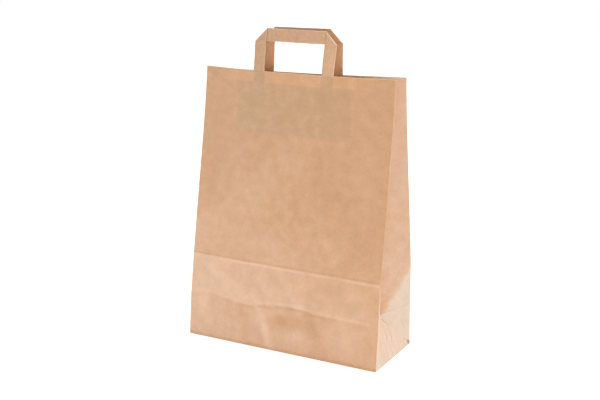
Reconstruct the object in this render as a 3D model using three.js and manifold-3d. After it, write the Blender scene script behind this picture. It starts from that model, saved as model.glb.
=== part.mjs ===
// A flat-handle carrier bag of brown kraft paper, standing open and empty.
// The bag is one folded sheet with side gussets and a block bottom, and each handle is a flat
// strip of folded paper, glued inside its panel under a reinforcing patch.
// Millimetres, +Z up, the front panel towards -Y, the origin at the middle of the base.
import * as THREE from "three";
import Module from "manifold-3d";
import { mergeVertices } from "three/addons/utils/BufferGeometryUtils.js";

// The bag
const bagWidth = 320;
const bagDepth = 130;
const panelLength = 420;
const paper = 0.15;

// How the sheet stands: how far its edges have come in at the knees of the gussets and at the
// crease, and half the gap that is left between them at the mouth
const kneeInset = 4.5;
const leftCreaseInset = 13.8;
const rightCreaseInset = 7.1;
const leftMouthHalf = 7.2;
const rightMouthHalf = 18.1;
const mouthWaist = 2.5;

// How the panels bow forwards at the rim, and how much lower the rear rim stands
const frontBow = 16.8;
const rearBow = 15.2;
const mouthForward = 1.4;
const leftValleyForward = 6;
const mouthGrowth = 1.3;
const leftRimDrop = 3.2;
const rightRimDrop = 0.5;

// The block bottom and the seam of the tube
const flapLap = 24;
const seamLap = 18;
const seamFromCorner = 24;
const seamRamp = 3;
const cutEdge = 0.2;

// The soft crease across the front panel, level with the knees
const softCreaseDepth = 1.6;

// The handles and their patches
const handleSpan = 133;
const stripWidth = 19;
const stripThickness = 0.6;
const handleRise = 62;
const frontLeftLean = 0.12;
const frontRightLean = 0.21;
const rearHandleLean = 0.082;
const patchWidth = 192;
const patchHeight = 75;
const patchBelowRim = 17;
const legAbovePatchFoot = 8;
const patchRamp = 1.2;
const glueGap = 0.08;

// How finely the faces are divided
const gussetSteps = 6;
const riseStep = 5;
const panelStep = 24;
const handleSteps = 4;
const bendSteps = 4;

// Worked out from the sizes above
const halfWidth = bagWidth / 2;
const halfDepth = bagDepth / 2;
const creaseHeight = bagDepth;
const baseLevel = 2 * paper;
const floorLevel = baseLevel + paper;
const legOuter = handleSpan / 2;
const legInner = legOuter - stripWidth;
const patchTop = panelLength - patchBelowRim;
const patchFoot = patchTop - patchHeight;
const legFoot = patchFoot + legAbovePatchFoot;
const handleTop = panelLength + handleRise;
const seamOuter = seamFromCorner - halfWidth + seamLap;
const seamInner = seamFromCorner - halfWidth;

const kraft = { color: 0xd2a681, roughness: 0.85, metalness: 0 };
const handleKraft = { color: 0xcfa580, roughness: 0.8, metalness: 0 };
const patchKraft = { color: 0xcba27c, roughness: 0.88, metalness: 0 };

const mix = THREE.MathUtils.lerp;
const hair = 1e-6;

// Steps no longer than `most` from one line to the next, over a list of lines that must be there.
function dividedLines(mustHave, most) {
  const lines = [mustHave[0]];
  for (let k = 1; k < mustHave.length; k++) {
    const from = mustHave[k - 1];
    const to = mustHave[k];
    const steps = Math.max(1, Math.round((to - from) / most));
    for (let s = 1; s <= steps; s++) lines.push(mix(from, to, s / steps));
  }
  return lines;
}

// Half the depth at the bag's left (-1) or right (1) end, at a height measured on the paper.
function halfDepthAt(end, v) {
  const atCrease = halfDepth - (end < 0 ? leftCreaseInset : rightCreaseInset);
  if (v <= halfDepth) return halfDepth - kneeInset * v / halfDepth;
  if (v <= creaseHeight) return mix(halfDepth - kneeInset, atCrease, v / halfDepth - 1);
  const s = (v - creaseHeight) / (panelLength - creaseHeight);
  const atMouth = end < 0 ? leftMouthHalf : rightMouthHalf;
  return mix(atCrease, atMouth, s) - mouthWaist * Math.sin(Math.PI * s * s);
}

// The height that a length of paper reaches when a line on it is `out(v)` from the middle.
function riseAt(v, out, from, fromLevel) {
  const steps = Math.max(1, Math.ceil((v - from) / riseStep));
  const dv = (v - from) / steps;
  let z = fromLevel;
  for (let k = 0; k < steps; k++) {
    const shift = out(from + (k + 1) * dv) - out(from + k * dv);
    z += Math.sqrt(Math.max(0, dv * dv - shift * shift));
  }
  return z;
}

const edgeRise = (end, v) => riseAt(v, (h) => halfDepthAt(end, h), 0, baseLevel);
const gussetDepthAt = (end, v) => Math.sqrt(halfDepth ** 2 - halfDepthAt(end, v) ** 2);
const kneeLevel = baseLevel + halfDepth - kneeInset;
const gussetRise = (end, v) => riseAt(v, (h) => gussetDepthAt(end, h), halfDepth, kneeLevel);

// How far the mouth's shape has grown at a height: none below the crease, all of it at the rim.
function mouthShare(v) {
  const s = Math.max(0, v - creaseHeight) / (panelLength - creaseHeight);
  return s ** mouthGrowth;
}

// A bowed panel's edges come in, because the paper's width goes into the bow.
function drawnIn(side, v) {
  const bow = (side < 0 ? frontBow : rearBow) * mouthShare(v);
  return 1 - 2 / 3 * (bow / halfWidth) ** 2;
}

// The soft crease: the panel is pushed in a little along it, and not at all at its ends.
function softCrease(x, v) {
  const reach = 1 - Math.abs(v - halfDepth) / halfDepth;
  const along = 1 - (x / halfWidth) ** 2;
  return softCreaseDepth * Math.max(0, reach) * along;
}

// A point of the front (side -1) or rear (side 1) panel: x across and v up the paper.
function panelPoint(side, x, v) {
  const bow = (side < 0 ? frontBow : rearBow) * (1 - (x / halfWidth) ** 2);
  const onSheet = Math.min(v, panelLength);
  const across = (x / halfWidth + 1) / 2;
  let y = side * mix(halfDepthAt(-1, onSheet), halfDepthAt(1, onSheet), across);
  y -= (bow + mouthForward) * mouthShare(onSheet);
  if (side < 0) y += softCrease(x, onSheet);
  let z = mix(edgeRise(-1, onSheet), edgeRise(1, onSheet), across);
  if (side > 0) z -= mix(leftRimDrop, rightRimDrop, across) * mouthShare(onSheet);
  if (v > panelLength) {
    const acrossHandle = (x / legOuter + 1) / 2;
    const lean = side < 0 ? mix(frontLeftLean, frontRightLean, acrossHandle) : rearHandleLean;
    const along = v - panelLength;
    y -= side * along * lean;
    z += along * Math.sqrt(1 - lean * lean);
  }
  return new THREE.Vector3(x * drawnIn(side, onSheet), y, z);
}

// The valley along the middle of a gusset, from the knee at half the bag's depth up to the rim.
// The left one stands further forward at the rim, where the rear panel bows towards it.
function gussetValley(end, v) {
  const edge = halfWidth * (drawnIn(-1, v) + drawnIn(1, v)) / 2;
  const x = end * (edge - gussetDepthAt(end, v));
  const forward = mouthForward + (end < 0 ? leftValleyForward : 0);
  return new THREE.Vector3(x, -forward * mouthShare(v), gussetRise(end, v));
}

function blend(...pairs) {
  const sum = new THREE.Vector3();
  for (const [point, weight] of pairs) sum.addScaledVector(point, weight);
  return sum;
}

// A point of the right (end 1) or left (end -1) gusset: u runs from -1 at the front edge to 1 at
// the rear edge. Up to the crease it is flat facets that meet at the knee: the block bottom's
// triangle, and the folds from the knee to the edges. Above, two leaves meet at the valley.
function gussetPoint(end, u, v) {
  const side = u < 0 ? -1 : 1;
  const a = Math.abs(u);
  const b = v / halfDepth;
  const edge = (height) => panelPoint(side, end * halfWidth, height);
  const knee = gussetValley(end, halfDepth);
  if (b <= 1 && a <= 1 - b) {
    const other = panelPoint(-side, end * halfWidth, 0);
    return blend([edge(0), (1 - b + a) / 2], [other, (1 - b - a) / 2], [knee, b]);
  }
  if (b <= 1) return blend([knee, 1 - a], [edge(0), 1 - b], [edge(halfDepth), a + b - 1]);
  if (b <= 2 && a >= b - 1) {
    return blend([knee, 1 - a], [edge(halfDepth), a - b + 1], [edge(creaseHeight), b - 1]);
  }
  if (b <= 2) {
    const valley = gussetValley(end, creaseHeight);
    return blend([knee, 2 - b], [edge(creaseHeight), a], [valley, b - 1 - a]);
  }
  return blend([gussetValley(end, v), 1 - a], [edge(v), a]);
}

// Points and triangles of one closed surface.
class Facets {
  points = [];
  triangles = [];

  add(point) {
    this.points.push(point);
    return this.points.length - 1;
  }

  // A four-sided face, cut from a to c, or from b to d if crossed.
  quad(a, b, c, d, crossed = false) {
    if (crossed) this.triangles.push([a, b, d], [b, c, d]);
    else this.triangles.push([a, b, c], [a, c, d]);
  }

  normalOf([a, b, c]) {
    const [p, q, r] = [this.points[a], this.points[b], this.points[c]];
    return q.clone().sub(p).cross(r.clone().sub(p)).normalize();
  }

  volume() {
    let six = 0;
    for (const [a, b, c] of this.triangles) {
      six += this.points[a].dot(this.points[b].clone().cross(this.points[c]));
    }
    return six / 6;
  }

  geometry() {
    const outwards = this.volume() > 0;
    const order = this.triangles.flatMap(([a, b, c]) => (outwards ? [a, b, c] : [a, c, b]));
    const positions = this.points.flatMap((p) => [p.x, p.y, p.z]);
    const shape = new THREE.BufferGeometry();
    shape.setAttribute("position", new THREE.Float32BufferAttribute(positions, 3));
    shape.setIndex(order);
    shape.computeVertexNormals();
    return shape;
  }
}

// A strip or patch of paper between two grids of points that face each other, cut into the same
// triangles as the panel that it lies on.
function sheetBetween(near, far, crossed) {
  const facets = new Facets();
  const faces = [near, far].map((grid) => grid.map((row) => row.map((p) => facets.add(p))));
  const [n, f] = faces;
  const rows = near.length - 1;
  const columns = near[0].length - 1;
  for (let r = 0; r < rows; r++) {
    for (let c = 0; c < columns; c++) {
      facets.quad(n[r][c], n[r][c + 1], n[r + 1][c + 1], n[r + 1][c], crossed);
      facets.quad(f[r][c], f[r + 1][c], f[r + 1][c + 1], f[r][c + 1], crossed);
    }
  }
  for (let r = 0; r < rows; r++) {
    facets.quad(n[r][0], n[r + 1][0], f[r + 1][0], f[r][0]);
    facets.quad(n[r][columns], f[r][columns], f[r + 1][columns], n[r + 1][columns]);
  }
  for (let c = 0; c < columns; c++) {
    facets.quad(n[0][c], f[0][c], f[0][c + 1], n[0][c + 1]);
    facets.quad(n[rows][c], n[rows][c + 1], f[rows][c + 1], f[rows][c]);
  }
  return facets.geometry();
}

const half = dividedLines([0, legInner - patchRamp, legInner], panelStep)
  .concat(dividedLines([legOuter, legOuter + patchRamp, patchWidth / 2, halfWidth], panelStep));
const panelLines = half.slice(1).reverse().map((x) => -x).concat(half);
const seamLines = [seamInner - seamRamp, seamInner, seamOuter, seamOuter + cutEdge];
const clearOfSeam = (x) => x < seamInner - 2 * seamRamp || x > seamOuter + seamRamp;
const rearLines = panelLines.filter(clearOfSeam)
  .concat(seamLines).sort((p, q) => p - q);
const blockLines = Array.from({ length: 2 * gussetSteps + 1 }, (_, k) => k * halfDepth / gussetSteps);
const wallLines = dividedLines(
  [creaseHeight, patchFoot, legFoot - patchRamp, legFoot, patchTop, panelLength], panelStep);
const heights = blockLines.concat(wallLines.slice(1));
const gussetLines = Array.from({ length: 2 * gussetSteps - 1 }, (_, k) => (k + 1) / gussetSteps - 1);

// The second ply where the sheet's edges overlap, on the outside of the rear panel.
function seamPly(x) {
  return x >= seamInner && x <= seamOuter ? paper : 0;
}

// One turn round the sheet at a height, with where each point lies and how many plies it has.
function turnRound(v) {
  const ring = [];
  for (const x of panelLines) ring.push({ at: panelPoint(-1, x, v), fold: 0, ply: 0 });
  ring.push(...gussetLines.map((u) => ({ at: gussetPoint(1, u, v), fold: u < 0 ? -1 : 1, ply: 0 })));
  for (const x of [...rearLines].reverse()) {
    ring.push({ at: panelPoint(1, x, v), fold: 0, ply: seamPly(x) });
  }
  ring.push(...gussetLines.map((u) => ({ at: gussetPoint(-1, -u, v), fold: u < 0 ? -1 : 1, ply: 0 })));
  return ring;
}

// Which half of a gusset the cell after a point belongs to, or 0 on a panel.
function foldOfCell(ring, i) {
  const here = ring[i];
  const next = ring[(i + 1) % ring.length];
  if (here.fold && next.fold) return here.fold < 0 && next.fold < 0 ? -1 : 1;
  return here.fold || next.fold;
}

// The open shell of the bag: its outer and inner faces, joined at the rim and closed at the base.
function bagShell() {
  const rings = heights.map(turnRound);
  const round = rings[0].length;
  const wall = new Facets();
  const sheet = rings.map((ring) => ring.map((station) => wall.add(station.at)));
  for (let j = 0; j + 1 < rings.length; j++) {
    const level = heights[j] < halfDepth - 1 ? -1 : heights[j] < creaseHeight - 1 ? 1 : 0;
    for (let i = 0; i < round; i++) {
      const k = (i + 1) % round;
      const crossed = level * foldOfCell(rings[j], i) < 0;
      wall.quad(sheet[j][i], sheet[j][k], sheet[j + 1][k], sheet[j + 1][i], crossed);
    }
  }
  const meeting = wall.points.map(() => []);
  for (const triangle of wall.triangles) {
    const normal = wall.normalOf(triangle);
    for (const corner of triangle) meeting[corner].push(normal);
  }
  // The inner face lies one paper inside every face that meets at a point. At a knife-sharp fold,
  // where that point would run far ahead of the paper, it stops at about three papers.
  const sharpest = 0.35;
  const inwards = meeting.map((normals) => {
    const mean = normals.reduce((sum, n) => sum.add(n), new THREE.Vector3()).normalize();
    const closest = Math.min(...normals.map((n) => n.dot(mean)));
    return mean.multiplyScalar(-1 / Math.max(closest, sharpest));
  });

  const shell = new Facets();
  const outer = rings.map((ring, j) => ring.map((station, i) => {
    const out = inwards[sheet[j][i]].clone().multiplyScalar(-station.ply);
    if (j === 0) out.z = 0;
    return shell.add(station.at.clone().add(out));
  }));
  const inner = rings.map((ring, j) => ring.map((station, i) => {
    const point = station.at.clone().addScaledVector(inwards[sheet[j][i]], paper);
    if (j === 0) point.z = floorLevel;
    return shell.add(point);
  }));
  for (let j = 0; j + 1 < rings.length; j++) {
    const level = heights[j] < halfDepth - 1 ? -1 : heights[j] < creaseHeight - 1 ? 1 : 0;
    for (let i = 0; i < round; i++) {
      const k = (i + 1) % round;
      const crossed = level * foldOfCell(rings[j], i) < 0;
      shell.quad(outer[j][i], outer[j][k], outer[j + 1][k], outer[j + 1][i], crossed);
      shell.quad(inner[j][i], inner[j + 1][i], inner[j + 1][k], inner[j][k], crossed);
    }
  }
  const top = rings.length - 1;
  for (let i = 0; i < round; i++) {
    const k = (i + 1) % round;
    shell.quad(outer[top][i], outer[top][k], inner[top][k], inner[top][i]);
  }
  const under = shell.add(new THREE.Vector3(0, 0, baseLevel));
  const floor = shell.add(new THREE.Vector3(0, 0, floorLevel));
  for (let i = 0; i < round; i++) {
    const k = (i + 1) % round;
    shell.triangles.push([outer[0][k], outer[0][i], under], [inner[0][i], inner[0][k], floor]);
  }
  return shell.geometry();
}

// A bottom flap: as wide as the panel at its fold, with ends folded in at 45 degrees to the
// gusset's middle, and a cut edge half the overlap past the middle of the base.
function bottomFlap(side, low) {
  const foldY = side * (halfDepth - cutEdge);
  const cornerX = halfWidth - cutEdge;
  const endX = halfWidth - halfDepth;
  const edgeY = -side * flapLap / 2;
  const outline = new THREE.Shape();
  outline.moveTo(-cornerX, foldY);
  outline.lineTo(cornerX, foldY);
  outline.lineTo(endX, 0);
  outline.lineTo(endX, edgeY);
  outline.lineTo(-endX, edgeY);
  outline.lineTo(-endX, 0);
  outline.closePath();
  const intoBase = paper / 3;
  const depth = baseLevel + intoBase - low;
  const flap = new THREE.ExtrudeGeometry(outline, { depth, bevelEnabled: false });
  return flap.translate(0, 0, low);
}

const wasm = await Module();
wasm.setup();

function solidOf(geometry) {
  const bare = new THREE.BufferGeometry();
  const loose = geometry.index ? geometry.toNonIndexed() : geometry;
  bare.setAttribute("position", loose.getAttribute("position"));
  const merged = mergeVertices(bare, 1e-4);
  return new wasm.Manifold(new wasm.Mesh({
    numProp: 3,
    vertProperties: merged.attributes.position.array,
    triVerts: new Uint32Array(merged.index.array),
  }));
}

function geometryOf(solid) {
  const mesh = solid.getMesh();
  const shape = new THREE.BufferGeometry();
  shape.setAttribute("position", new THREE.Float32BufferAttribute(mesh.vertProperties, mesh.numProp));
  shape.setIndex(new THREE.BufferAttribute(mesh.triVerts, 1));
  shape.computeVertexNormals();
  return shape;
}

// The bag: the shell, with its rear flap and, over it, its front flap glued under the base.
function bagBody() {
  const shell = solidOf(bagShell());
  const rearFlap = solidOf(bottomFlap(1, paper));
  const frontFlap = solidOf(bottomFlap(-1, 0));
  return geometryOf(shell.add(rearFlap).add(frontFlap));
}

// A point of the papers glued inside a panel, a depth behind the panel's inner face.
function insidePoint(side, x, v, depth) {
  const point = panelPoint(side, x, v);
  point.y -= side * (paper + glueGap + depth);
  return point;
}

// A patch: it lies on the panel, and steps over the legs of the handle that it holds.
function patch(side) {
  const across = panelLines.filter((x) => Math.abs(x) <= patchWidth / 2 + hair);
  const up = heights.filter((v) => v >= patchFoot - hair && v <= patchTop + hair);
  const overLeg = stripThickness + glueGap;
  const face = (extra) => up.map((v) => across.map((x) => {
    const crossesLeg = Math.abs(x) >= legInner - hair && Math.abs(x) <= legOuter + hair;
    const raised = crossesLeg && v >= legFoot - hair ? overLeg : 0;
    return insidePoint(side, x, v, raised + extra);
  }));
  return sheetBetween(face(0), face(paper), side > 0);
}

// A handle: up the left leg, back over a 45 degree fold, along the bar behind the legs, and the
// same again down the right leg. Each row crosses the strip from the leg's inner edge to its outer.
function handle(side) {
  const near = [];
  const far = [];
  const row = (end, [xIn, vIn], [xOut, vOut], nearDepth, farDepth) => {
    near.push([insidePoint(side, end * xIn, vIn, nearDepth), insidePoint(side, end * xOut, vOut, nearDepth)]);
    far.push([insidePoint(side, end * xIn, vIn, farDepth), insidePoint(side, end * xOut, vOut, farDepth)]);
  };
  const halfLoop = [];
  for (const v of heights.filter((line) => line >= legFoot - hair)) {
    halfLoop.push((end) => row(end, [legInner, v], [legOuter, v], 0, stripThickness));
  }
  for (let k = 1; k <= handleSteps; k++) {
    const inner = panelLength + handleRise * k / handleSteps;
    const outer = panelLength + (handleRise - stripWidth) * k / handleSteps;
    halfLoop.push((end) => row(end, [legInner, inner], [legOuter, outer], 0, stripThickness));
  }
  const axisDepth = stripThickness + glueGap / 2;
  for (let k = 1; k < bendSteps; k++) {
    const turn = Math.PI * k / bendSteps;
    halfLoop.push((end) => {
      for (const [rows, radius] of [[near, axisDepth], [far, glueGap / 2]]) {
        const push = radius * Math.sin(turn) * Math.SQRT1_2;
        const depth = axisDepth - radius * Math.cos(turn);
        rows.push([
          insidePoint(side, end * (legInner + push), handleTop + push, depth),
          insidePoint(side, end * (legOuter + push), handleTop - stripWidth + push, depth),
        ]);
      }
    });
  }
  const barNear = 2 * stripThickness + glueGap;
  const barFar = stripThickness + glueGap;
  for (let k = 0; k < handleSteps; k++) {
    const top = mix(legInner, 0, k / handleSteps);
    const foot = mix(legOuter, 0, k / handleSteps);
    halfLoop.push((end) => row(end, [top, handleTop], [foot, handleTop - stripWidth], barNear, barFar));
  }
  for (const make of halfLoop) make(-1);
  row(1, [0, handleTop], [0, handleTop - stripWidth], barNear, barFar);
  for (const make of halfLoop.reverse()) make(1);
  return sheetBetween(near, far, side < 0);
}

function named(name, geometry, finish) {
  const mesh = new THREE.Mesh(geometry, new THREE.MeshStandardMaterial(finish));
  mesh.name = name;
  return mesh;
}

const group = new THREE.Group();
group.add(
  named("bag_body", bagBody(), kraft),
  named("handle_front", handle(-1), handleKraft),
  named("handle_rear", handle(1), handleKraft),
  named("patch_front", patch(-1), patchKraft),
  named("patch_rear", patch(1), patchKraft),
);

export default group;
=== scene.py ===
# A flat-handle carrier bag of brown kraft paper, standing open and empty on a white floor.
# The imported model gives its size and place, and this script gives it its paper.
import math

import bmesh
import bpy
from mathutils import Matrix, Vector, noise


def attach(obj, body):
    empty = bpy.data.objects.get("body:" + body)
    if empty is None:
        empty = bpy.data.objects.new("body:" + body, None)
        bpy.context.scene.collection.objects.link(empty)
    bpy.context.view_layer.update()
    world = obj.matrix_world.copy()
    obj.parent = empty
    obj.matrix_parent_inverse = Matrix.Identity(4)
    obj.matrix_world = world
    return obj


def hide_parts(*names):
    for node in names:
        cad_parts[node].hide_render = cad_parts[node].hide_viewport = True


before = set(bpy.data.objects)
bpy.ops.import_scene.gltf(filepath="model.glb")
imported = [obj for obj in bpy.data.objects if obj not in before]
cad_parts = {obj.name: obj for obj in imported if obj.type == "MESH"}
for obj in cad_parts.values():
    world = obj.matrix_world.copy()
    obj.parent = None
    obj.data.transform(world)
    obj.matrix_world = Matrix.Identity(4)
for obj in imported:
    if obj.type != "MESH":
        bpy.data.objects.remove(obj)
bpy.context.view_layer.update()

bpy.context.scene.view_settings.view_transform = "Standard"

# The camera stands to the right of the front panel and a little above the mouth.
# It is tipped by less than a degree, as a hand-held one is.
camera_azimuth = math.radians(27.74)
camera_elevation = math.radians(13.96)
camera_roll = math.radians(0.63)
camera_distance = 1.5862
camera_aim = Vector((-0.0005, 0, 0.2220))

lens = bpy.data.cameras.new("camera")
lens.sensor_width = 36
lens.lens = 63
camera = bpy.data.objects.new("camera", lens)
bpy.context.scene.collection.objects.link(camera)
bpy.context.scene.camera = camera
sight_back = Vector((math.sin(camera_azimuth) * math.cos(camera_elevation),
                     -math.cos(camera_azimuth) * math.cos(camera_elevation),
                     math.sin(camera_elevation)))
level_right = Vector((math.cos(camera_azimuth), math.sin(camera_azimuth), 0))
level_up = sight_back.cross(level_right)
tipped_right = level_right * math.cos(camera_roll) + level_up * math.sin(camera_roll)
tipped_up = sight_back.cross(tipped_right)
turn = Matrix((tipped_right, tipped_up, sight_back)).transposed()
camera.matrix_world = Matrix.Translation(camera_aim + sight_back * camera_distance) @ turn.to_4x4()


# The bag is one sheet of kraft paper, wrapped round and glued down the rear panel.
# It is folded into two panels, two side gussets and a block bottom.
# The blank is laid flat as a grid first, and each of its points is then folded into place.
bag_width = 0.320
bag_depth = 0.130
panel_length = 0.420
flap_length = 0.077
paper = 0.00015
ply = 0.00017

# How far the side folds lean in by the knee and by the crease, half the mouth's depth at each
# end, and how far the folds draw in further between the crease and the mouth. The mouth's own
# shape grows with this power of the height: it stands forward, both panels bow forward, and the
# rear rim sits lower.
knee_inset = 0.0045
left_crease_inset = 0.0138
right_crease_inset = 0.0071
left_mouth_half = 0.0072
right_mouth_half = 0.0181
mouth_waist = 0.0025
mouth_growth = 1.3
mouth_forward = 0.0014
left_valley_forward = 0.006
front_bow = 0.0168
rear_bow = 0.0152
left_rim_drop = 0.0032
right_rim_drop = 0.0005

half_width = bag_width / 2
half_depth = bag_depth / 2
crease_height = bag_depth
base_level = 0.0003

# The glued seam runs up the rear panel, between these distances from its middle.
round_bag = 2 * (bag_width + bag_depth)
seam_outer_edge = 0.118
seam_inner_edge = 0.136


def mix(a, b, t):
    return a + (b - a) * t


# Half the depth at the bag's left (-1) or right (1) end, at a height v up the paper.
def half_depth_at(end, v):
    at_crease = half_depth - (left_crease_inset if end < 0 else right_crease_inset)
    if v <= half_depth:
        return half_depth - knee_inset * v / half_depth
    if v <= crease_height:
        return mix(half_depth - knee_inset, at_crease, v / half_depth - 1)
    s = (v - crease_height) / (panel_length - crease_height)
    at_mouth = left_mouth_half if end < 0 else right_mouth_half
    return mix(at_crease, at_mouth, s) - mouth_waist * math.sin(math.pi * s * s)


def gusset_depth_at(end, v):
    return math.sqrt(half_depth ** 2 - half_depth_at(end, v) ** 2)


# The rise of a fold line is a sum along its own paper, kept every half millimetre.
rise_step = 0.0005
rise_rows = round(panel_length / rise_step)


def rises(out, end, start_row, start_level):
    table = [start_level] * (rise_rows + 1)
    for k in range(start_row, rise_rows):
        shift = out(end, (k + 1) * rise_step) - out(end, k * rise_step)
        table[k + 1] = table[k] + math.sqrt(rise_step ** 2 - shift ** 2)
    return table


knee_row = round(half_depth / rise_step)
knee_level = base_level + half_depth - knee_inset
edge_rises = {end: rises(half_depth_at, end, 0, base_level) for end in (-1, 1)}
valley_rises = {end: rises(gusset_depth_at, end, knee_row, knee_level) for end in (-1, 1)}


def looked_up(table, v):
    k = min(int(v / rise_step), rise_rows - 1)
    return mix(table[k], table[k + 1], v / rise_step - k)


# How much of the mouth's shape there is at a height: none below the crease, all at the rim.
def mouth_share(v):
    return (max(0, v - crease_height) / (panel_length - crease_height)) ** mouth_growth


# A bowed panel's side folds come in, because the paper goes the longer way round the bow.
def drawn_in(side, v):
    bow = (front_bow if side < 0 else rear_bow) * mouth_share(v)
    return 1 - 2 / 3 * (bow / half_width) ** 2


def smooth_step(low, high, value):
    t = min(1, max(0, (value - low) / (high - low)))
    return t * t * (3 - 2 * t)


# The front panel's soft dents: how far across from the middle and up each lies, the angle that
# it runs at, its length and width, and its height, or its depth where that is below zero.
front_dents = (
    (-0.110, 0.104, 140, 0.030, 0.009, 0.0018),
    (-0.084, 0.081, 158, 0.018, 0.010, 0.0030),
    (-0.060, 0.076, 15, 0.022, 0.007, 0.0013),
    (-0.031, 0.039, 113, 0.034, 0.0062, 0.0040),
    (-0.018, 0.084, 130, 0.022, 0.009, 0.0013),
    (0.020, 0.086, 128, 0.022, 0.008, 0.0016),
    (0.014, 0.050, 4, 0.036, 0.011, -0.0024),
    (0.052, 0.042, 112, 0.026, 0.011, -0.0022),
    (0.029, 0.028, 95, 0.018, 0.010, 0.0018),
    (-0.082, 0.048, 170, 0.034, 0.012, -0.0011),
    (-0.060, 0.024, 100, 0.020, 0.008, -0.0013),
    (-0.135, 0.060, 90, 0.024, 0.016, 0.0013),
    (0.108, 0.036, 70, 0.036, 0.018, 0.0014),
    (0.104, 0.160, 62, 0.052, 0.018, -0.0027),
    (0.072, 0.176, 122, 0.036, 0.010, 0.0016),
    (0.030, 0.158, 110, 0.020, 0.008, -0.0011),
    (-0.024, 0.166, 118, 0.034, 0.010, 0.0013),
    (0.062, 0.262, 130, 0.060, 0.020, -0.0020),
    (-0.090, 0.210, 35, 0.080, 0.030, 0.0025),
    (-0.126, 0.290, 80, 0.070, 0.022, -0.0016),
    (0.000, 0.300, 40, 0.060, 0.022, 0.0016),
    (0.120, 0.300, 95, 0.080, 0.022, 0.0014),
)

# The panels' cross creases: a pressed ridge at the crease, and a soft valley level with the knees.
crease_ridge = 0.0008
crease_reach = 0.0030
soft_crease_depth = 0.0016
soft_crease_fold = 0.0011
soft_crease_reach = 0.007
rear_wave = 0.0016

# Where the front's soft valley runs, from left to right: across from the middle, and up.
soft_crease_course = (
    (-0.160, 0.066), (-0.129, 0.071), (-0.098, 0.067), (-0.076, 0.063), (-0.053, 0.063),
    (-0.033, 0.067), (0.007, 0.0705), (0.032, 0.0705), (0.054, 0.067), (0.091, 0.066),
    (0.160, 0.065),
)


def soft_crease_gap(side, x, v):
    if side > 0:
        return v - half_depth - 0.0035 * noise.noise(Vector((x * 22, 4.1, 0)))
    for (low_x, low_v), (high_x, high_v) in zip(soft_crease_course, soft_crease_course[1:]):
        if x <= high_x:
            break
    return v - mix(low_v, high_v, smooth_step(low_x, high_x, x))


def dent_shares(x, v):
    for dent_x, dent_v, angle, length, width, height in front_dents:
        run = math.radians(angle)
        along = ((x - dent_x) * math.cos(run) + (v - dent_v) * math.sin(run)) / length
        over = ((v - dent_v) * math.cos(run) - (x - dent_x) * math.sin(run)) / width
        yield height * math.exp(-along * along - over * over)


# How far a panel's paper stands out of its plain folded shape. Its folds hold it.
def relief(side, x, v):
    bow = 1 - (x / half_width) ** 2
    held = min(1, (half_width - abs(x)) / 0.012) * min(1, v / 0.010)
    out = crease_ridge * max(0, 1 - abs(v - crease_height) / crease_reach)
    to_soft = abs(soft_crease_gap(side, x, v))
    fold = soft_crease_fold * max(0, 1 - to_soft / soft_crease_reach) ** 1.5
    if side < 0:
        out -= soft_crease_depth * max(0, 1 - abs(v - half_depth) / half_depth) * bow
        # The soft valley is weaker towards both side folds.
        fold *= 0.55 + 0.45 * smooth_step(-0.09, 0.02, x) - 0.5 * smooth_step(0.06, 0.15, x)
        out += sum(dent_shares(x, v)) * held
    else:
        fold *= 0.5
        # The gussets' rear leaves lie close behind the upper corners, so these stay plain.
        over_leaf = smooth_step(0.20, 0.30, v) * smooth_step(0.068, 0.090, abs(x))
        out += rear_wave * noise.noise(Vector((x * 16, v * 13, 7.7))) * held * (1 - over_leaf)
    return out - fold * held


# A point of the front (side -1) or rear (side 1) panel: x across and v up the paper.
def panel_point(side, x, v):
    across = (x / half_width + 1) / 2
    bow = (front_bow if side < 0 else rear_bow) * (1 - (x / half_width) ** 2)
    y = side * mix(half_depth_at(-1, v), half_depth_at(1, v), across)
    y -= (bow + mouth_forward) * mouth_share(v)
    z = mix(looked_up(edge_rises[-1], v), looked_up(edge_rises[1], v), across)
    if side > 0:
        z -= mix(left_rim_drop, right_rim_drop, across) * mouth_share(v)
    return Vector((x * drawn_in(side, v), y, z))


# The valley along the middle of a gusset. The left one stands further forward at the rim, where
# the rear panel bows towards it.
def valley_point(end, v):
    edge = half_width * (drawn_in(-1, v) + drawn_in(1, v)) / 2
    x = end * (edge - gusset_depth_at(end, v))
    forward = mouth_forward + (left_valley_forward if end < 0 else 0)
    return Vector((x, -forward * mouth_share(v), looked_up(valley_rises[end], v)))


# A point of a gusset: u runs from -1 at the front fold to 1 at the rear fold. Up to the crease
# it is flat facets that meet at the knee. Above, two leaves meet at the valley.
def gusset_point(end, u, v):
    side = -1 if u < 0 else 1
    a = abs(u)
    b = v / half_depth

    def edge(height):
        return panel_point(side, end * half_width, height)

    knee = valley_point(end, half_depth)
    if b <= 1 and a <= 1 - b:
        other = panel_point(-side, end * half_width, 0)
        return edge(0) * ((1 - b + a) / 2) + other * ((1 - b - a) / 2) + knee * b
    if b <= 1:
        return knee * (1 - a) + edge(0) * (1 - b) + edge(half_depth) * (a + b - 1)
    if b <= 2 and a >= b - 1:
        return knee * (1 - a) + edge(half_depth) * (a - b + 1) + edge(crease_height) * (b - 1)
    if b <= 2:
        valley = valley_point(end, crease_height)
        return knee * (2 - b) + edge(crease_height) * a + valley * (b - 1 - a)
    return valley_point(end, v) * (1 - a) + edge(v) * a


# The gussets' paper waves a little. Under each knee it is pinched into small pleats, and the
# knee itself is pushed in.
gusset_wave = 0.0016
gusset_ripple = 0.0005
pleat_height = 0.0006
pleat_spacing = 0.0024
pleat_top = 0.062
knee_dip = 0.0022


def pleat_at(u, v):
    shadow_line = math.sin(u * half_depth / pleat_spacing + 9 * v / half_depth * u + 0.8)
    return shadow_line * smooth_step(pleat_top, 0.035, v) * max(0, 1 - abs(u - 0.05) / 0.75)


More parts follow.
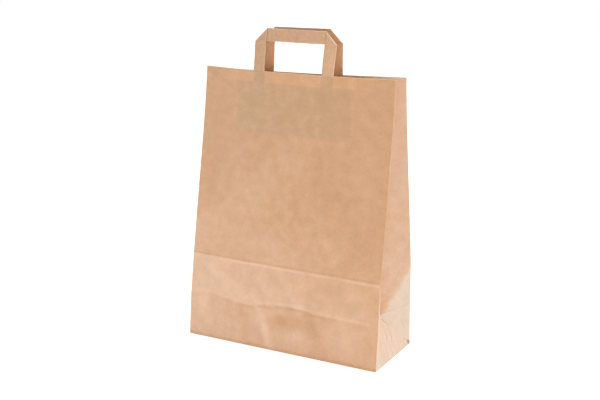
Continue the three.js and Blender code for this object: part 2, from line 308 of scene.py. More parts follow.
def gusset_relief(end, u, v):
    from_fold = half_depth * min(abs(u), 1 - abs(u))
    held = min(1, from_fold / 0.02) * min(1, v / 0.02)
    wave = gusset_wave * noise.noise(Vector((u * 1.3, v * 9, 5.2 * end))) * held
    wave += gusset_ripple * noise.noise(Vector((u * 4.5, v * 30, 2.2 * end))) * held
    dip = knee_dip * math.exp(-((u - 0.03) / 0.10) ** 2 - ((v - half_depth + 0.004) / 0.010) ** 2)
    return wave + pleat_height * pleat_at(u, v) * min(1, v / 0.006) - dip


# The blank's two ends at the seam, and the folds between them. Distances round the sheet start at
# the front panel's left fold and grow to the right. Each fold is rounded off within half a
# millimetre on each side of its line.
fold_round = 0.00045
fold_lines = [
    seam_outer_edge - half_width - bag_depth,
    -bag_depth - fold_round,
    -bag_depth + fold_round,
    -half_depth,
    -fold_round,
    fold_round,
    bag_width - fold_round,
    bag_width + fold_round,
    bag_width + half_depth,
    bag_width + bag_depth - fold_round,
    bag_width + bag_depth + fold_round,
    bag_width + bag_depth + half_width + seam_inner_edge,
]
level_lines = [
    0, half_depth - soft_crease_reach, half_depth, half_depth + soft_crease_reach,
    crease_height - crease_reach, crease_height - crease_reach / 3, crease_height,
    crease_height + crease_reach / 3, crease_height + crease_reach, panel_length,
]
cell = half_depth / 21
flap_cell = 0.007
seam_ramp = 0.003


def divided(lines, step):
    places = [lines[0]]
    for a, b in zip(lines, lines[1:]):
        count = max(1, round((b - a) / step))
        places += [mix(a, b, (k + 1) / count) for k in range(count)]
    return places


around = divided(fold_lines, cell)
upwards = divided([-flap_length, 0], flap_cell) + divided(level_lines, cell)[1:]

# Levels under the base, from the floor up: the front flap, the rear seam, the rear flap, the
# corners that the flaps fold in, and the end flaps of the gussets inside.
front_flap_level = 0
seam_level = ply
rear_flap_level = 2 * ply
corner_level = 4 * ply
end_flap_level = 5 * ply


# Where a point of the tube's end lies once it is tucked under the base: s round the sheet, and d
# down from the base's fold.
def tucked(s, d):
    if 0 <= s <= bag_width or s > bag_width + bag_depth or s < -bag_depth:
        front = 0 <= s <= bag_width
        side = -1 if front else 1
        x = s - half_width
        if not front:
            behind = s if s > 0 else s + round_bag
            x = half_width - (behind - bag_width - bag_depth)
        level = front_flap_level if front else rear_flap_level
        if s < 0:
            level = seam_level
        inset = half_width - abs(x)
        if inset < d:
            x = math.copysign(half_width - d, x)
            d = inset
            level = corner_level
        return Vector((x, side * (half_depth - d), level))
    end = 1 if s > 0 else -1
    y = s - bag_width - half_depth if s > 0 else -s - half_depth
    return Vector((end * (half_width - d), y, end_flap_level))


# Where a point of the blank lies on the folded bag: s round the sheet, and v up the paper.
def folded(s, v):
    if v < 0:
        return tucked(s, -v)
    if s < -bag_depth or s > bag_width + bag_depth:
        behind = s if s > 0 else s + round_bag
        x = half_width - (behind - bag_width - bag_depth)
        point = panel_point(1, x, v)
        point.y += relief(1, x, v)
        if s < 0:
            climb = min(1, (seam_inner_edge + seam_ramp + x) / seam_ramp)
            point.y += ply * max(0, climb)
        return point
    if s < 0:
        u = (s + half_depth) / half_depth
        point = gusset_point(-1, -u, v)
        point.x -= gusset_relief(-1, -u, v)
        return point
    if s <= bag_width:
        x = s - half_width
        point = panel_point(-1, x, v)
        point.y -= relief(-1, x, v)
        return point
    u = (s - bag_width - half_depth) / half_depth
    point = gusset_point(1, u, v)
    point.x += gusset_relief(1, u, v)
    return point


# Painted light and shade, kept at each point from -1 for dark to 1 for pale: the standing paper
# is painted pale where light and sheen fall on it, most of all round the block bottom, and
# darker in the hollows, where shade falls. A random blotch of the paper's own tone is added.
def front_light_and_shade(x, v, below):
    # Painted light: the panel is painted paler below the crease, most on the left, a little paler
    # just over the crease except at the right, and paler towards the base.
    paler_left = 0.46 - 1.8 * x - 2.0 * x * x
    over = (1 - below) * smooth_step(0.21, 0.14, v)
    painted_light_and_tone = below * paler_left + 0.26 * over * smooth_step(0.13, 0.0, x)
    painted_light_and_tone += 0.08 * smooth_step(panel_length, crease_height, v)
    # Painted light and shade: each dent's bulge is painted pale and its hollow dark, more so below
    # the crease.
    painted_light_and_tone += mix(85, 210, below) * sum(dent_shares(x, v))
    # The soft valley is painted as shade, a dark line, with a painted pale line of light just over
    # it.
    gap = soft_crease_gap(-1, x, v)
    held = (1 - abs(x / half_width) ** 3) * (0.4 + 0.6 * smooth_step(-0.13, 0.0, x))
    held = max(held, 0.6 * smooth_step(-0.118, -0.135, x))
    pale_line = math.exp(-((gap - 0.0032) / 0.0028) ** 2)
    dark_line = math.exp(-((gap + 0.0020) / 0.0026) ** 2) * smooth_step(0.11, 0.06, x)
    painted_light_and_tone += held * (0.55 * pale_line - 0.50 * dark_line)
    # Painted shade: the panel's right side is painted darker over the crease, and the fold at the
    # base is painted dark as the floor's contact shadow.
    right_side = 0.16 * smooth_step(0.02, 0.09, x) + 0.20 * smooth_step(0.110, 0.150, x)
    painted_light_and_tone -= right_side * smooth_step(crease_height, 0.20, v)
    return painted_light_and_tone - 0.7 * smooth_step(0.007, 0.0, v)


def gusset_light_and_shade(u, v):
    a = abs(u)
    b = v / half_depth
    painted_light_and_tone = 0.48 - 0.13 * smooth_step(0.30, 0.16, v)
    if b > 1:
        # Painted light and shade: the facets between the knee and the crease are painted palest,
        # and what they fold is painted darker.
        outside_fold = a - b + 1
        painted_light_and_tone += 0.75 * smooth_step(0.01, 0.22, outside_fold)
        painted_light_and_tone -= 0.18 * smooth_step(0.02, -0.12, outside_fold) * smooth_step(2.5, 1.9, b)
    else:
        # Painted light: the facets under the knee are painted pale, palest towards the front fold
        # and in the facets beside the folds.
        painted_light_and_tone += 0.42 + 0.30 * max(smooth_step(-0.5, -0.8, u), smooth_step(-0.03, 0.06, a + b - 1))
    # Painted shade: the middle of the gusset just over the knee, and the pleats under the knee, are
    # painted darker.
    painted_light_and_tone -= 0.35 * smooth_step(0.35, 0.05, a) * (1 < b < 1.5)
    return painted_light_and_tone - 0.20 * pleat_at(u, v)


def painted_light_and_blotch_at(s, v):
    blotch = 0.15 * noise.noise(Vector((s * 22, v * 26, 3.3)))
    blotch += 0.16 * noise.noise(Vector((s * 70, v * 55, 8.1)))
    if v < 0:
        return blotch
    below = smooth_step(crease_height + 0.0015, crease_height - 0.0025, v)
    if 0 <= s <= bag_width:
        return max(-1, min(1, 0.7 * blotch + front_light_and_shade(s - half_width, v, below)))
    if s < -bag_depth or s > bag_width + bag_depth:
        # Painted light: the rear panel is painted paler below the crease.
        return blotch + 0.3 * below
    u = (s - bag_width - half_depth) / half_depth if s > 0 else (s + half_depth) / -half_depth
    return max(-1, min(1, 0.9 * blotch + gusset_light_and_shade(u, v)))


blank = bmesh.new()
columns = len(around) - 1
rows = len(upwards) - 1
bmesh.ops.create_grid(blank, x_segments=columns, y_segments=rows, size=1)
for vertex in blank.verts:
    column = round((vertex.co.x + 1) / 2 * columns)
    row = round((vertex.co.y + 1) / 2 * rows)
    vertex.co = Vector((around[column], upwards[row], 0))


# Cuts the blank's grid along a slanting fold, so that the fold stays sharp.
def crease_blank(through, slope, low, high, reach):
    near = [f for f in blank.faces if low < f.calc_center_median().y < high
            and abs(f.calc_center_median().x - through.x) < reach]
    beside = {e for f in near for e in f.edges} | {w for f in near for w in f.verts}
    bmesh.ops.bisect_plane(blank, geom=near + list(beside), dist=cell / 100,
                           plane_co=through, plane_no=Vector((1, slope, 0)))


# The slanting folds: through the knee of each gusset, and from each corner across the flaps.
for valley in (-half_depth, bag_width + half_depth):
    for slope in (-1, 1):
        crease_blank(Vector((valley, half_depth, 0)), slope, 0, crease_height, half_depth)
for corner in (-bag_depth, 0, bag_width, bag_width + bag_depth):
    slope = 1 if corner in (0, bag_width + bag_depth) else -1
    crease_blank(Vector((corner, 0, 0)), slope, -flap_length, 0, flap_length + cell)

flat_map = blank.loops.layers.uv.new("flat_sheet")
for face in blank.faces:
    for loop in face.loops:
        loop[flat_map].uv = (loop.vert.co.x, loop.vert.co.y)
painted_light_and_blotch = blank.verts.layers.float.new("painted_light_and_blotch")
for vertex in blank.verts:
    vertex[painted_light_and_blotch] = painted_light_and_blotch_at(vertex.co.x, vertex.co.y)
    vertex.co = folded(vertex.co.x, vertex.co.y)
for face in blank.faces:
    face.smooth = True

bag_mesh = bpy.data.meshes.new("bag_sheet")
blank.to_mesh(bag_mesh)
blank.free()
bag_mesh.set_sharp_from_angle(angle=math.radians(24))
bag = bpy.data.objects.new("bag_sheet", bag_mesh)
bpy.context.scene.collection.objects.link(bag)
thickness = bag.modifiers.new("paper", "SOLIDIFY")
thickness.thickness = paper
thickness.offset = -1


# A value in a material's nodes, on which sums can be written.
class Sum:
    def __init__(self, tree, value):
        self.tree = tree
        self.value = value

    def node(self, kind, settings=None, **sockets):
        made = self.tree.nodes.new(kind)
        for name, setting in (settings or {}).items():
            setattr(made, name, setting)
        for name, given in sockets.items():
            key = int(name[1:]) if name[0] == "i" and name[1:].isdigit() else name.replace("_", " ")
            socket = made.inputs[key]
            given = given.value if isinstance(given, Sum) else given
            if isinstance(given, bpy.types.NodeSocket):
                self.tree.links.new(given, socket)
            else:
                socket.default_value = given
        return made

    def math(self, operation, *others):
        given = {f"i{k}": other for k, other in enumerate((self, *others))}
        made = self.node("ShaderNodeMath", {"operation": operation}, **given)
        return Sum(self.tree, made.outputs[0])

    def __add__(self, other):
        return self.math("ADD", other)

    def __radd__(self, other):
        return self.math("ADD", other)

    def __sub__(self, other):
        return self.math("SUBTRACT", other)

    def __rsub__(self, other):
        return Sum(self.tree, other).math("SUBTRACT", self)

    def __mul__(self, other):
        return self.math("MULTIPLY", other)

    def __rmul__(self, other):
        return self.math("MULTIPLY", other)

    def step(self, low, high):
        made = self.node("ShaderNodeMapRange", {"interpolation_type": "SMOOTHSTEP"},
                         Value=self, From_Min=low, From_Max=high)
        return Sum(self.tree, made.outputs[0])


def blended(start, a, b, share, how="MIX"):
    made = start.node("ShaderNodeMix", {"data_type": "RGBA", "blend_type": how},
                      i0=share, i6=a, i7=b)
    return Sum(start.tree, made.outputs[2])


def new_paper(name, colour, roughness):
    material = bpy.data.materials.new(name)
    material.use_nodes = True
    tree = material.node_tree
    shader = tree.nodes["Principled BSDF"]
    shader.inputs["Base Color"].default_value = (*colour, 1)
    shader.inputs["Roughness"].default_value = roughness
    shader.inputs["Specular IOR Level"].default_value = 0.5
    return material, tree, shader


# Brown kraft paper, and its painted colours: pale with painted light and sheen on the panels and
# on the gussets, painted shadow in small creases, painted shade in a hollow and on the gussets,
# painted shade where the paper behind doubles it, painted light through the single ply at the rim,
# and warm at the folds.
kraft_colour = (0.612, 0.343, 0.185)
kraft_painted_light = (0.755, 0.496, 0.330)
gusset_painted_light = (0.612, 0.466, 0.356)
kraft_painted_shadow = (0.330, 0.170, 0.085)
kraft_painted_shade = (0.500, 0.262, 0.128)
kraft_gusset_shade = (0.400, 0.300, 0.220)
kraft_doubled_shade = (0.545, 0.332, 0.178)
kraft_single_ply_light = (0.660, 0.368, 0.190)
kraft_warm = (0.640, 0.318, 0.145)
kraft_roughness = 0.42
kraft_grain = 0.00016

kraft, tree, shader = new_paper("kraft_paper", kraft_colour, kraft_roughness)
start = Sum(tree, None)
place = start.node("ShaderNodeUVMap", {"uv_map": "flat_sheet"}).outputs[0]
split = start.node("ShaderNodeSeparateXYZ", Vector=place)
round_sheet = Sum(tree, split.outputs[0])
up_sheet = Sum(tree, split.outputs[1])


def noise_on(start, place, scale, detail):
    spread = start.node("ShaderNodeMapping", Vector=place, Scale=(*scale, 1))
    made = start.node("ShaderNodeTexNoise", Vector=spread.outputs[0], Scale=1.0, Detail=detail)
    return Sum(start.tree, made.outputs[0])


def band(value, low, high, soft):
    return value.step(low - soft, low + soft) * (1.0 - value.step(high - soft, high + soft))


cloud = noise_on(start, place, (60, 60), 5.0)
flock = noise_on(start, place, (330, 240), 3.0)
fibre = noise_on(start, place, (900, 260), 3.0)
fleck = noise_on(start, place, (420, 1500), 2.0).step(0.64, 0.74)

# Behind the top of each panel lie the patch and the handle's legs, and they show through as painted
# shade, where less light passes two plies. Over the patch the rim is a single ply, painted brighter
# with the light that passes through it.
leg_centre = 0.057
strip_width = 0.019
leg_inner = leg_centre - strip_width / 2
leg_outer = leg_centre + strip_width / 2
leg_foot = 0.336
patch_half_width = 0.096
patch_top = 0.403
patch_foot = 0.328
rear_middle = bag_width + bag_depth + half_width

from_middle = (round_sheet - half_width).math("ABSOLUTE")
from_middle = from_middle.math("MINIMUM", (round_sheet - rear_middle).math("ABSOLUTE"))
over_foot = up_sheet.step(patch_foot - 0.0022, patch_foot + 0.0022)
over_top = up_sheet.step(patch_top - 0.0018, patch_top + 0.0018)
beside_patch = from_middle.step(patch_half_width - 0.0024, patch_half_width + 0.0024)
on_patch = over_foot * (1.0 - over_top) * (1.0 - beside_patch)
on_leg = band(from_middle, leg_inner, leg_outer, 0.0007)
on_leg = on_leg * up_sheet.step(leg_foot - 0.0008, leg_foot + 0.0008)
doubled_shade = on_patch.math("MAXIMUM", on_leg) * 0.8 + on_patch * on_leg * 0.2
single_ply_light = up_sheet.step(patch_top - 0.0004, patch_top + 0.0010) * (1.0 - on_leg)
single_ply_light = single_ply_light * (1.0 - from_middle.step(0.11, 0.14) * 0.6)

# The crease at the top of the block bottom is painted as a pale highlight line with a dark line of
# shade just over it. On the gussets a dark line of painted shade runs level with the knees. The
# cut edge at the mouth has a painted pale highlight.
in_gusset = band(round_sheet, -bag_depth, 0, 0.0005)
in_gusset = in_gusset + band(round_sheet, bag_width, bag_width + bag_depth, 0.0005)
over_crease = up_sheet - crease_height
crease_highlight = over_crease.step(-0.0060, -0.0032) * (1.0 - over_crease.step(-0.0012, 0.0004))
crease_shadow = over_crease.step(0.0002, 0.0010) * (1.0 - over_crease.step(0.0018, 0.0038))
over_knee = up_sheet - half_depth
knee_shadow = over_knee.step(0.0014, 0.0022) * (1.0 - over_knee.step(0.0028, 0.0040))
rim_highlight = up_sheet.step(panel_length - 0.0016, panel_length - 0.0006)
uneven = noise_on(start, place, (38, 6), 2.0).step(0.25, 0.6) * 0.5 + 0.5
crease_lines = (crease_highlight * 0.42 - crease_shadow * 0.16) * uneven * (1.0 - in_gusset)

painted_light_and_tone = Sum(tree, start.node("ShaderNodeAttribute", {"attribute_name": "painted_light_and_blotch"}).outputs["Fac"])
painted_light_and_tone = painted_light_and_tone + (cloud - 0.5) * 0.55 + crease_lines
painted_light_and_tone = painted_light_and_tone - knee_shadow * in_gusset * 0.5 + rim_highlight * 0.8

# A painted highlight runs along the right side fold of the front panel, up to the mouth.
beside_right_fold = (round_sheet - bag_width).math("ABSOLUTE")
fold_highlight = (1.0 - beside_right_fold.step(0.0008, 0.0026)) * up_sheet.step(0.20, 0.32)
painted_light_and_tone = painted_light_and_tone + fold_highlight * 0.9


# A thin line of painted shadow from one place on the right gusset to another, fading towards its
# end.
def shadow_line(over, up, place_a, place_b, width):
    (over_a, up_a), (over_b, up_b) = place_a, place_b
    length = math.hypot(over_b - over_a, up_b - up_a)
    over_run = (over_b - over_a) / length
    up_run = (up_b - up_a) / length
    along = (over - over_a) * over_run + (up - up_a) * up_run
    beside = ((over - over_a) * up_run - (up - up_a) * over_run).math("ABSOLUTE")
    inside = along.step(-width, length * 0.15) * (1.0 - along.step(length * 0.7, length + width))
    return inside * (1.0 - beside.step(width * 0.2, width))


# Painted shadow: small creases spread from the knee of the right gusset and are painted as dark
# lines. The end of the block bottom there is painted a little darker as shade, and its rear corner
# has a small dark painted spot.
over_gusset = round_sheet - (bag_width + half_depth)
painted_shadow = shadow_line(over_gusset, up_sheet, (0.002, 0.088), (0.002, 0.058), 0.0016) * 0.6
for place_a, place_b, strength in (
        ((0.003, 0.060), (0.020, 0.041), 0.75),
        ((0.008, 0.044), (-0.009, 0.020), 0.50),
        ((0.018, 0.039), (0.005, 0.010), 0.45),
        ((0.033, 0.036), (0.027, 0.008), 0.30),
        ((0.044, 0.050), (0.053, 0.030), 0.20),
        ((0.048, 0.014), (0.064, 0.004), 0.35)):
    line = shadow_line(over_gusset, up_sheet, place_a, place_b, 0.0014)
    painted_shadow = painted_shadow.math("MAXIMUM", line * strength)
from_base_middle = over_gusset.math("ABSOLUTE") + up_sheet
block_end = 1.0 - from_base_middle.step(half_depth - 0.007, half_depth + 0.001)
painted_shadow = painted_shadow.math("MAXIMUM", block_end * over_gusset.step(-0.052, -0.040) * 0.12)
corner_spot = shadow_line(over_gusset, up_sheet, (0.059, 0.005), (0.065, 0.001), 0.0048)
painted_shadow = painted_shadow.math("MAXIMUM", corner_spot)

# How much of each colour the paper takes. The gussets are painted in shade from the knee to some
# way over the crease, where they aren't painted pale.
beside_fold = round_sheet.math("ABSOLUTE")
for fold in (bag_width, bag_width + bag_depth, -bag_depth):
    beside_fold = beside_fold.math("MINIMUM", (round_sheet - fold).math("ABSOLUTE"))
on_fold = 1.0 - beside_fold.step(0.0008, 0.0036)
pale_share = painted_light_and_tone.math("MAXIMUM", 0.0).math("MINIMUM", 1.0)
dark_share = (painted_light_and_tone * -1.0).math("MAXIMUM", 0.0).math("MINIMUM", 1.0)
gusset_shade_share = up_sheet.step(0.06, 0.10) * (1.0 - up_sheet.step(0.16, 0.22)) * in_gusset
gusset_shade_share = gusset_shade_share * (1.0 - pale_share) * 0.3

paper_colour = blended(start, (*kraft_colour, 1), (*kraft_single_ply_light, 1), single_ply_light)
paper_colour = blended(start, paper_colour, (*kraft_doubled_shade, 1), doubled_shade)
paper_colour = blended(start, paper_colour, (*kraft_warm, 1), on_fold * 0.6)
painted_light_colour = blended(start, (*kraft_painted_light, 1), (*gusset_painted_light, 1), in_gusset)
paper_colour = blended(start, paper_colour, painted_light_colour, pale_share)
paper_colour = blended(start, paper_colour, (*kraft_painted_shade, 1), dark_share)
paper_colour = blended(start, paper_colour, (*kraft_gusset_shade, 1), gusset_shade_share)
paper_colour = blended(start, paper_colour, (*kraft_painted_shadow, 1), painted_shadow)
shade = (cloud - 0.5) * 0.16 + (flock - 0.5) * 0.20 + (fibre - 0.5) * 0.14 + 1.0 - fleck * 0.10
# Painted light: the top of each gusset is painted brighter.
shade = shade + in_gusset * up_sheet.step(0.24, 0.40) * 0.08
tone = start.node("ShaderNodeCombineColor", Red=shade, Green=shade, Blue=shade)
paper_colour = blended(start, paper_colour, tone.outputs[0], 1.0, "MULTIPLY")
tree.links.new(paper_colour.value, shader.inputs["Base Color"])
gloss = (cloud - 0.5) * 0.20 + (fibre - 0.5) * 0.10 + kraft_roughness
tree.links.new(gloss.value, shader.inputs["Roughness"])
grain = start.node("ShaderNodeBump", Height=fibre * 0.4 + cloud * 0.35 + flock * 0.25,
                   Distance=kraft_grain, Strength=0.6)
tree.links.new(grain.outputs[0], shader.inputs["Normal"])
bag_mesh.materials.append(kraft)

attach(bag, "root")
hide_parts("bag_body")


# Each handle is one strip of folded paper: up from behind its patch, over a slanting fold, along
# the grip behind the legs, and down again. Its outer face is smooth, its inner face rough. It is
# glued to the inside of its panel, and the rear one leans back and stands a little higher.
strip_thickness = 0.0006
handle_rise = 0.062
front_left_lean = 0.12
front_right_lean = 0.21
rear_left_lean = -0.06
rear_right_lean = 0.04
rear_stretch = 1.045
rear_left_shift = 0.004
glue_gap = 0.00008
bend_radius = 0.0005
strip_cell = 0.0024
strip_crumple = 0.0005
strip_wave = 0.0012

fold_centre = panel_length + handle_rise - strip_width / 2
run_up = fold_centre - leg_foot
strip_length = 2 * (run_up + leg_centre)


# A point of a handle or patch: x across and v up from the base, at a depth behind its panel.
def handle_place(side, x, v, depth):
    on_sheet = min(v, panel_length)
    if side > 0:
        # The rear handle's left leg stands a little further right.
        x += rear_left_shift * smooth_step(0, -0.03, x) * smooth_step(-patch_half_width, -0.070, x)
    held_x = max(-half_width, min(half_width, x))
    point = panel_point(side, held_x, on_sheet)
    if v > panel_length:
        across = (x / leg_outer + 1) / 2
        lean = mix(front_left_lean, front_right_lean, across)
        rise = v - panel_length
        if side > 0:
            lean = mix(rear_left_lean, rear_right_lean, across)
            rise *= rear_stretch
        point.y -= side * rise * lean
        point.z += rise * math.sqrt(1 - lean * lean)
    settle = smooth_step(panel_length + 0.004, panel_length - 0.012, v)
    inwards = -side * (paper + glue_gap + depth)
    point.y += inwards + side * relief(side, held_x, on_sheet) * settle
    return point


# From a place on the flat strip (p along it, q across it) to the folded handle. The slanting
# fold is a half turn round a small radius, and past is how far the place lies beyond its line.
def strip_place(side, p, q):
    end = -1
    if p > strip_length / 2:
        end = 1
        p = strip_length - p
    beyond = p - run_up
    line = (q + beyond) / math.sqrt(2)
    past = (beyond - q) / math.sqrt(2)
    bend = math.pi * bend_radius / 2
    if past < -bend:
        offset, depth = past + bend, 0
    elif past < bend:
        turned = (past + bend) / bend_radius
        offset = bend_radius * math.sin(turned)
        depth = bend_radius * (1 - math.cos(turned))
    else:
        offset, depth = bend - past, 2 * bend_radius
    x = -leg_centre + (line - offset) / math.sqrt(2)
    v = fold_centre + (line + offset) / math.sqrt(2)
    crumple = strip_crumple * noise.noise(Vector((p * 45, q * 60, 3 * side + end)))
    crumple += strip_wave * noise.noise(Vector((p * 14, 1.5, 5 * side + end)))
    loose = smooth_step(panel_length - 0.004, panel_length + 0.02, v)
    return handle_place(side, -end * x, v, depth + crumple * loose + strip_thickness / 2)


def handle_strip(name, side, front_finish, back_finish):
    strip = bmesh.new()
    along = divided([0, run_up + leg_centre, strip_length], strip_cell)
    over = divided([-strip_width / 2, strip_width / 2], strip_cell)
    bmesh.ops.create_grid(strip, x_segments=len(along) - 1, y_segments=len(over) - 1, size=1)
    for vertex in strip.verts:
        p = along[round((vertex.co.x + 1) / 2 * (len(along) - 1))]
        q = over[round((vertex.co.y + 1) / 2 * (len(over) - 1))]
        vertex.co = Vector((p, q, 0))
    for past in (-1, -0.5, 0, 0.5, 1):
        shift = past * math.pi * bend_radius / 2 * math.sqrt(2)
        for centre, slope in ((run_up + shift, -1), (strip_length - run_up - shift, 1)):
            geometry = strip.verts[:] + strip.edges[:] + strip.faces[:]
            bmesh.ops.bisect_plane(strip, geom=geometry, dist=1e-6, plane_co=Vector((centre, 0, 0)),
                                   plane_no=Vector((1, slope, 0)))
    flat = strip.loops.layers.uv.new("flat_sheet")
    for face in strip.faces:
        face.smooth = True
        middle = face.calc_center_median()
        in_grip = run_up + middle.y < middle.x < strip_length - run_up - middle.y
        face.material_index = 1 if in_grip else 0
        for loop in face.loops:
            loop[flat].uv = (loop.vert.co.x, loop.vert.co.y)
    for vertex in strip.verts:
        vertex.co = strip_place(side, vertex.co.x, vertex.co.y)
    if side < 0:
        bmesh.ops.reverse_faces(strip, faces=strip.faces)
    mesh = bpy.data.meshes.new(name)
    strip.to_mesh(mesh)
    strip.free()
    mesh.set_sharp_from_angle(angle=math.radians(50))
    # The folds turn the grip over, so there the two faces change places.
    for finish in (front_finish, back_finish, front_finish):
        mesh.materials.append(finish)
    piece = bpy.data.objects.new(name, mesh)
    bpy.context.scene.collection.objects.link(piece)
    plies = piece.modifiers.new("plies", "SOLIDIFY")
    plies.thickness = strip_thickness
    plies.offset = 0
    plies.material_offset = 1
    plies.material_offset_rim = 1
    return piece


# The strip's paper has fine ribs across it, and its right leg is painted paler, as painted light.
# Its edges and its slanting folds carry painted pale highlights on the smooth face.
strip_grain = 0.0002


def strip_finish(name, colour, roughness, mottle, highlight_lines):
    material, tree, shader = new_paper(name, colour, roughness)
    start = Sum(tree, None)
    place = start.node("ShaderNodeUVMap", {"uv_map": "flat_sheet"}).outputs[0]
    cloud = noise_on(start, place, (150, 150), 5.0)
    fibre = noise_on(start, place, (1400, 420), 2.0)
    ribs = noise_on(start, place, (620, 40), 1.0)
    shade = (cloud - 0.5) * mottle + (fibre - 0.5) * mottle + (ribs - 0.5) * 0.12 + 1.0
    base = (*colour, 1)
    split = start.node("ShaderNodeSeparateXYZ", Vector=place)
    along = Sum(tree, split.outputs[0])
    over = Sum(tree, split.outputs[1])
    # Painted light: the right leg is painted brighter.
    shade = shade + along.step(strip_length * 0.60, strip_length * 0.75) * 0.10
    tone = start.node("ShaderNodeCombineColor", Red=shade, Green=shade, Blue=shade)
    if highlight_lines:
        along = along.math("MINIMUM", strip_length - along)
        fold = 1.0 - (along - over - run_up).math("ABSOLUTE").step(0.0006, 0.0019)
        edge = over.math("ABSOLUTE").step(strip_width / 2 - 0.0012, strip_width / 2 - 0.0002)
        highlight = tuple(mix(part, 1, 0.22) for part in colour)
        base = blended(start, base, (*highlight, 1), fold.math("MAXIMUM", edge * 0.7) * 0.8)
    coloured = blended(start, base, tone.outputs[0], 1.0, "MULTIPLY")
    tree.links.new(coloured.value, shader.inputs["Base Color"])
    gloss = (cloud - 0.5) * 0.2 + roughness
    tree.links.new(gloss.value, shader.inputs["Roughness"])
    grain = start.node("ShaderNodeBump", Height=fibre * 0.4 + cloud * 0.3 + ribs * 0.3,
                       Distance=strip_grain, Strength=0.6)
    tree.links.new(grain.outputs[0], shader.inputs["Normal"])
    return material


smooth_face = (0.600, 0.364, 0.214)
# The rough face is darker: partly the paper's own rougher side, and partly painted shade for the
# rear handle.
rough_face_and_shade = (0.560, 0.308, 0.156)
handle_smooth = strip_finish("handle_smooth_face", smooth_face, roughness=0.55, mottle=0.44,
                             highlight_lines=True)
handle_rough = strip_finish("handle_rough_face", rough_face_and_shade, roughness=0.75, mottle=0.46,
                            highlight_lines=False)
for name, side in (("handle_front", -1), ("handle_rear", 1)):
    strip = handle_strip(name + "_strip", side, handle_smooth, handle_rough)
    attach(strip, "root")
    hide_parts(name)


# A patch of the same rough paper is glued over the legs of each handle, inside its panel.
# It lies flat on the panel and steps over each leg.
patch_ramp = 0.0015
patch_cell = 0.004


def patch_sheet(name, side):
    sheet = bmesh.new()
    half = [leg_inner - patch_ramp, leg_inner, leg_outer, leg_outer + patch_ramp, patch_half_width]
    across = divided([-x for x in reversed(half)] + half, patch_cell)
    up = divided([patch_foot, leg_foot - patch_ramp, leg_foot, patch_top], patch_cell)
    bmesh.ops.create_grid(sheet, x_segments=len(across) - 1, y_segments=len(up) - 1, size=1)
    flat = sheet.loops.layers.uv.new("flat_sheet")
    for vertex in sheet.verts:
        x = across[round((vertex.co.x + 1) / 2 * (len(across) - 1))]
        v = up[round((vertex.co.y + 1) / 2 * (len(up) - 1))]
        vertex.co = Vector((x, v, 0))
    for face in sheet.faces:
        face.smooth = True
        for loop in face.loops:
            loop[flat].uv = (loop.vert.co.x, loop.vert.co.y)
    for vertex in sheet.verts:
        x, v = vertex.co.x, vertex.co.y
        lifted = smooth_step(leg_inner - patch_ramp, leg_inner, abs(x))
        lifted *= smooth_step(leg_outer + patch_ramp, leg_outer, abs(x))
        lifted *= smooth_step(leg_foot - patch_ramp, leg_foot, v)
        depth = lifted * (strip_thickness + 2 * glue_gap) + glue_gap
        vertex.co = handle_place(side, x, v, depth)
    if side > 0:
        bmesh.ops.reverse_faces(sheet, faces=sheet.faces)
    mesh = bpy.data.meshes.new(name)
    sheet.to_mesh(mesh)
    sheet.free()
    mesh.set_sharp_from_angle(angle=math.radians(20))
    mesh.materials.append(handle_rough)
    piece = bpy.data.objects.new(name, mesh)
    bpy.context.scene.collection.objects.link(piece)
    thick = piece.modifiers.new("paper", "SOLIDIFY")
    thick.thickness = paper
    thick.offset = -1
    return piece


for name, side in (("patch_front", -1), ("patch_rear", 1)):
    piece = patch_sheet(name + "_sheet", side)
    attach(piece, "root")
    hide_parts(name)


# The floor and the backdrop are one white surface. The camera sees it as plain white paper that
# keeps only the bag's own soft shadow, because it glows more the further it is from the bag.
floor_size = 6
floor_white = 0.8
floor_glow = 0.62
glow_near = 0.35
glow_far = 1.3
floor_gap = 0.0004


# Whether the camera sees a surface, directly or in the gloss of another one.
def seen_by_camera(start):
    path = start.node("ShaderNodeLightPath")
    camera_ray = Sum(start.tree, path.outputs["Is Camera Ray"])
    return camera_ray.math("MAXIMUM", Sum(start.tree, path.outputs["Is Glossy Ray"]))


stage_mesh = bmesh.new()
bmesh.ops.create_grid(stage_mesh, x_segments=1, y_segments=1, size=floor_size)
bmesh.ops.translate(stage_mesh, verts=stage_mesh.verts, vec=(0, 0, -floor_gap))
floor_mesh = bpy.data.meshes.new("floor")
stage_mesh.to_mesh(floor_mesh)
stage_mesh.free()
floor = bpy.data.objects.new("floor", floor_mesh)
bpy.context.scene.collection.objects.link(floor)
white, tree, shader = new_paper("white_floor", (floor_white, floor_white, floor_white), 0.9)
start = Sum(tree, None)
seen = seen_by_camera(start)
spot = start.node("ShaderNodeTexCoord").outputs["Object"]
distance = start.node("ShaderNodeVectorMath", {"operation": "LENGTH"}, i0=spot)
away = Sum(tree, distance.outputs["Value"]).step(glow_near, glow_far)
glow_level = away * (1.0 - floor_glow) + floor_glow
glow_grey = start.node("ShaderNodeCombineColor", Red=glow_level, Green=glow_level, Blue=glow_level)
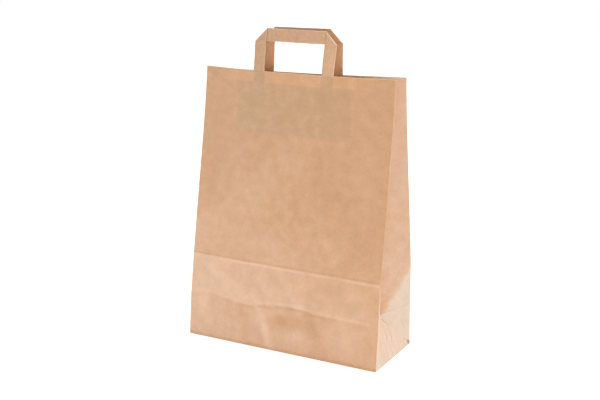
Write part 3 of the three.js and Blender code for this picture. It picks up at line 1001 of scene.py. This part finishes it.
glow = start.node("ShaderNodeEmission", Color=glow_grey.outputs[0], Strength=1.0)
lit = start.node("ShaderNodeAddShader", i0=shader.outputs[0], i1=glow.outputs[0])
either = start.node("ShaderNodeMixShader", i0=seen, i1=shader.outputs[0], i2=lit.outputs[0])
tree.links.new(either.outputs[0], tree.nodes["Material Output"].inputs[0])
floor_mesh.materials.append(white)

# The room is a pale studio. It lights the bag softly, and the camera and the gloss of the paper
# see it as plain white.
room_light = 0.21

world = bpy.data.worlds.new("studio")
bpy.context.scene.world = world
world.use_nodes = True
tree = world.node_tree
start = Sum(tree, None)
seen = seen_by_camera(start)
room = start.node("ShaderNodeBackground", Color=(1, 1, 1, 1), Strength=room_light)
plain = start.node("ShaderNodeBackground", Color=(1, 1, 1, 1), Strength=1.0)
either = start.node("ShaderNodeMixShader", i0=seen, i1=room.outputs[0], i2=plain.outputs[0])
tree.links.new(either.outputs[0], tree.nodes["World Output"].inputs[0])


# Square soft boxes light the bag, each at a distance from it and aimed at its middle. Two low
# cards throw a little light back at the block bottom.
def soft_lamp(name, azimuth, elevation, distance, size, power):
    light = bpy.data.lights.new(name, "AREA")
    light.size = size
    light.energy = power
    lamp = bpy.data.objects.new(name, light)
    turn, lift = math.radians(azimuth), math.radians(elevation)
    reach = distance * math.cos(lift)
    place = Vector((reach * math.sin(turn), -reach * math.cos(turn), distance * math.sin(lift)))
    lamp.location = place
    lamp.rotation_euler = (Vector((0, 0, 0.2)) - place).to_track_quat("-Z", "Y").to_euler()
    bpy.context.scene.collection.objects.link(lamp)


soft_lamp("top_box", azimuth=150, elevation=78, distance=1.9, size=1.4, power=36)
soft_lamp("side_box", azimuth=120, elevation=20, distance=2.0, size=1.0, power=15.5)
soft_lamp("camera_box", azimuth=35, elevation=14, distance=2.0, size=0.9, power=15)
soft_lamp("low_left_card", azimuth=-60, elevation=4, distance=1.0, size=0.4, power=2.4)
soft_lamp("low_front_card", azimuth=10, elevation=4, distance=1.1, size=0.3, power=1.3)
